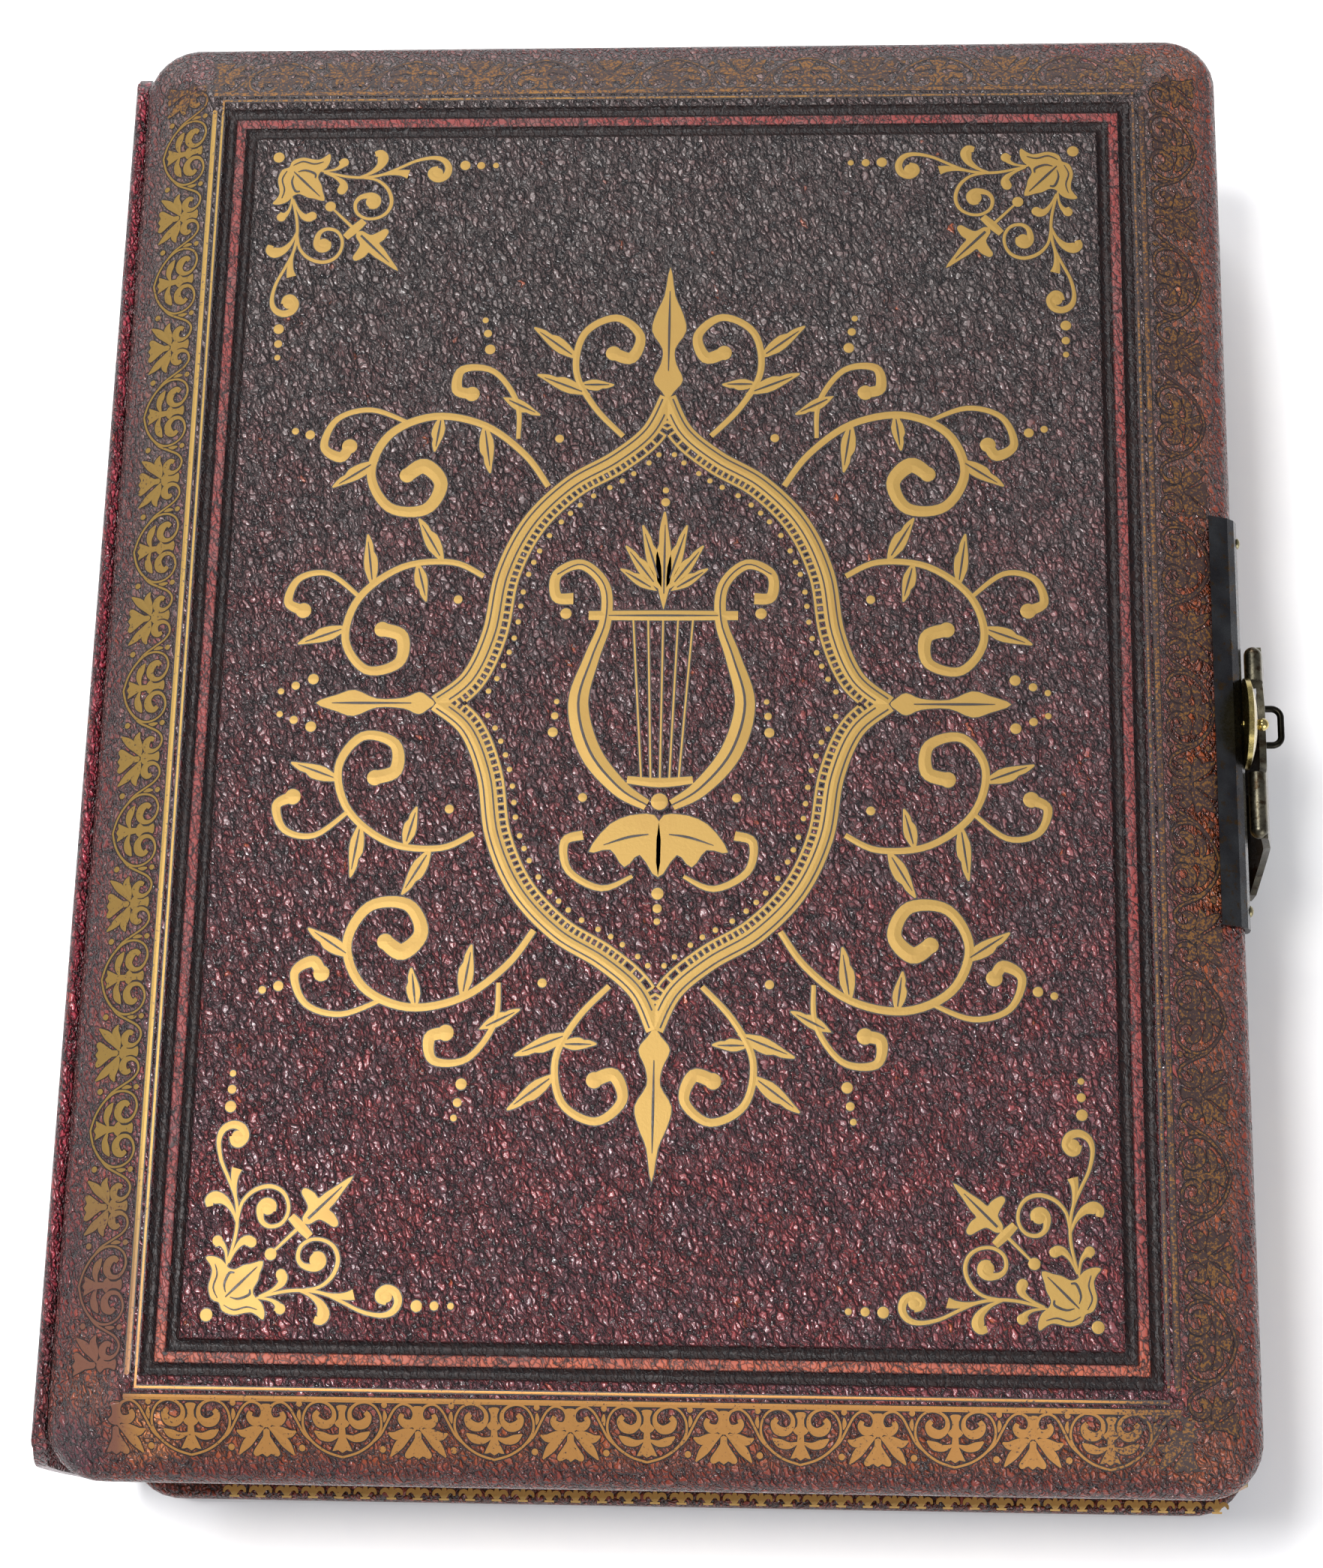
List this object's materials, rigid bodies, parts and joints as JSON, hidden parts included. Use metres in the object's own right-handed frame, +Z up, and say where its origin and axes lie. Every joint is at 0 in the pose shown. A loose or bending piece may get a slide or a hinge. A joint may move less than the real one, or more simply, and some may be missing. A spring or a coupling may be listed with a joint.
{
  "type": "musical photo album",
  "caption": "Thick leather photograph album with tooled padded covers, a hinged metal clasp and a clockwork cylinder music movement in a case behind the card leaves.",
  "frame": {"origin": "centre of the back cover's underside, on which the closed album lies", "axes": "+X to the fore-edge and its clasp, +Y to the head, +Z up through the front cover"},
  "size_m": [0.2449, 0.304, 0.0727],
  "materials": {
    "morocco_leather": "dark aubergine pebble-grained leather, blind grooves and gilt tooling",
    "endpaper": "glazed cream paper",
    "spine_lining": "glued brown paper and mull",
    "card_leaves": "cream card with gilt edges",
    "case_wood": "softwood with gilt outer faces",
    "case_board": "board faced with cream paper",
    "movement_brass": "brushed brass",
    "movement_steel": "bright steel",
    "spring_steel": "blued spring steel",
    "screw_steel": "blued steel",
    "clasp_gunmetal": "brass gone nearly black, bright along its inner edge",
    "clasp_patina": "brass with a greenish brown patina",
    "clasp_bright": "brass rubbed bright",
    "loop_wire": "dark iron wire"
  },
  "bodies": {
    "album": {"spine_shell": "morocco_leather", "spine_liner": "spine_lining", "leaf_block": "card_leaves", "back_cover": "morocco_leather", "case_floor": "case_wood", "rail_head": "case_wood", "rail_tail": "case_wood", "rail_fore": "case_wood", "rail_spine": "case_wood", "partition_long": "case_wood", "partition_cross": "case_wood", "case_lid": "case_board", "keyhole_escutcheon": "movement_brass", "bedplate": "movement_brass", "bedplate_screws": "screw_steel", "bracket_screws": "screw_steel", "cylinder_cock_tail": "movement_brass", "cylinder_cock_head": "movement_brass", "comb": "movement_steel", "comb_base": "movement_brass", "comb_screws": "screw_steel", "barrel_cock_tail": "movement_brass", "barrel_cock_head": "movement_brass", "click_stud": "screw_steel", "click_spring": "spring_steel", "governor_post": "movement_brass", "governor_cock": "movement_brass", "stop_lever_stud": "screw_steel", "clasp_hinge_pin": "clasp_bright", "clasp_back_plate": "clasp_gunmetal", "clasp_back_pins": "clasp_bright"},
    "front_board": {"front_cover": "morocco_leather", "front_endpaper": "endpaper", "clasp_front_plate": "clasp_gunmetal", "clasp_front_pins": "clasp_bright", "clasp_stud": "clasp_bright"},
    "turn_button": {"clasp_button": "clasp_bright"},
    "hasp": {"clasp_arm": "clasp_patina", "clasp_loop": "loop_wire"},
    "cylinder": {"cylinder_shell": "movement_brass", "cylinder_arbor": "movement_steel", "cylinder_pinion": "movement_steel", "cylinder_wheel": "movement_brass"},
    "barrel": {"barrel_drum": "movement_brass", "barrel_cap": "movement_brass", "mainspring": "spring_steel"},
    "winder": {"barrel_arbor": "movement_steel", "ratchet_wheel": "movement_steel"},
    "click_pawl": {"click": "movement_steel"},
    "governor": {"governor_arbor": "movement_steel", "governor_wheel": "movement_brass"},
    "fly_arbor": {"fly": "movement_brass"},
    "stop": {"stop_lever": "movement_steel", "stop_knob": "movement_brass"}
  },
  "joints": [
    {"name": "front_cover_hinge", "type": "hinge", "parent": "album", "child": "front_board", "pos_m": [-0.1203, 0, 0.0624], "axis": [0, -1, 0], "range_deg": [0, 180]},
    {"name": "turn_button_spin", "type": "hinge", "parent": "front_board", "child": "turn_button", "pos_m": [0.112, -0.001, 0.0632], "axis": [1, 0, 0], "range_deg": [-90, 90]},
    {"name": "hasp_hinge", "type": "hinge", "parent": "album", "child": "hasp", "pos_m": [0.11767, -0.004, 0.0095], "axis": [0, 1, 0], "range_deg": [0, 92]},
    {"name": "cylinder_spin", "type": "hinge", "parent": "album", "child": "cylinder", "pos_m": [0.045, -0.067, 0.0268], "axis": [0, 1, 0], "continuous": true},
    {"name": "barrel_spin", "type": "hinge", "parent": "album", "child": "barrel", "pos_m": [0.033, -0.107, 0.0268], "axis": [0, 1, 0], "continuous": true},
    {"name": "winder_spin", "type": "hinge", "parent": "album", "child": "winder", "pos_m": [0.033, -0.107, 0.0268], "axis": [0, 1, 0], "continuous": true},
    {"name": "click_pivot", "type": "hinge", "parent": "album", "child": "click_pawl", "pos_m": [0.0422, -0.124, 0.0248], "axis": [0, 1, 0], "range_deg": [0, 8], "stiffness_Nm_per_rad": 0.0005, "springref_deg": -8.59},
    {"name": "governor_spin", "type": "hinge", "parent": "album", "child": "governor", "pos_m": [0.0345, -0.038, 0.0268], "axis": [0, 1, 0], "continuous": true},
    {"name": "fly_spin", "type": "hinge", "parent": "album", "child": "fly_arbor", "pos_m": [0.02818, -0.0328, 0.03], "axis": [0, 0, 1], "continuous": true},
    {"name": "stop_lever_pivot", "type": "hinge", "parent": "album", "child": "stop", "pos_m": [0.067, -0.028, 0.02], "axis": [0, 0, 1], "range_deg": [0, 4]}
  ],
  "couplings": [
    {"joint": "barrel_spin", "follows": "cylinder_spin", "ratio": -0.33333},
    {"joint": "governor_spin", "follows": "cylinder_spin", "ratio": -6},
    {"joint": "fly_spin", "follows": "cylinder_spin", "ratio": -144}
  ]
}
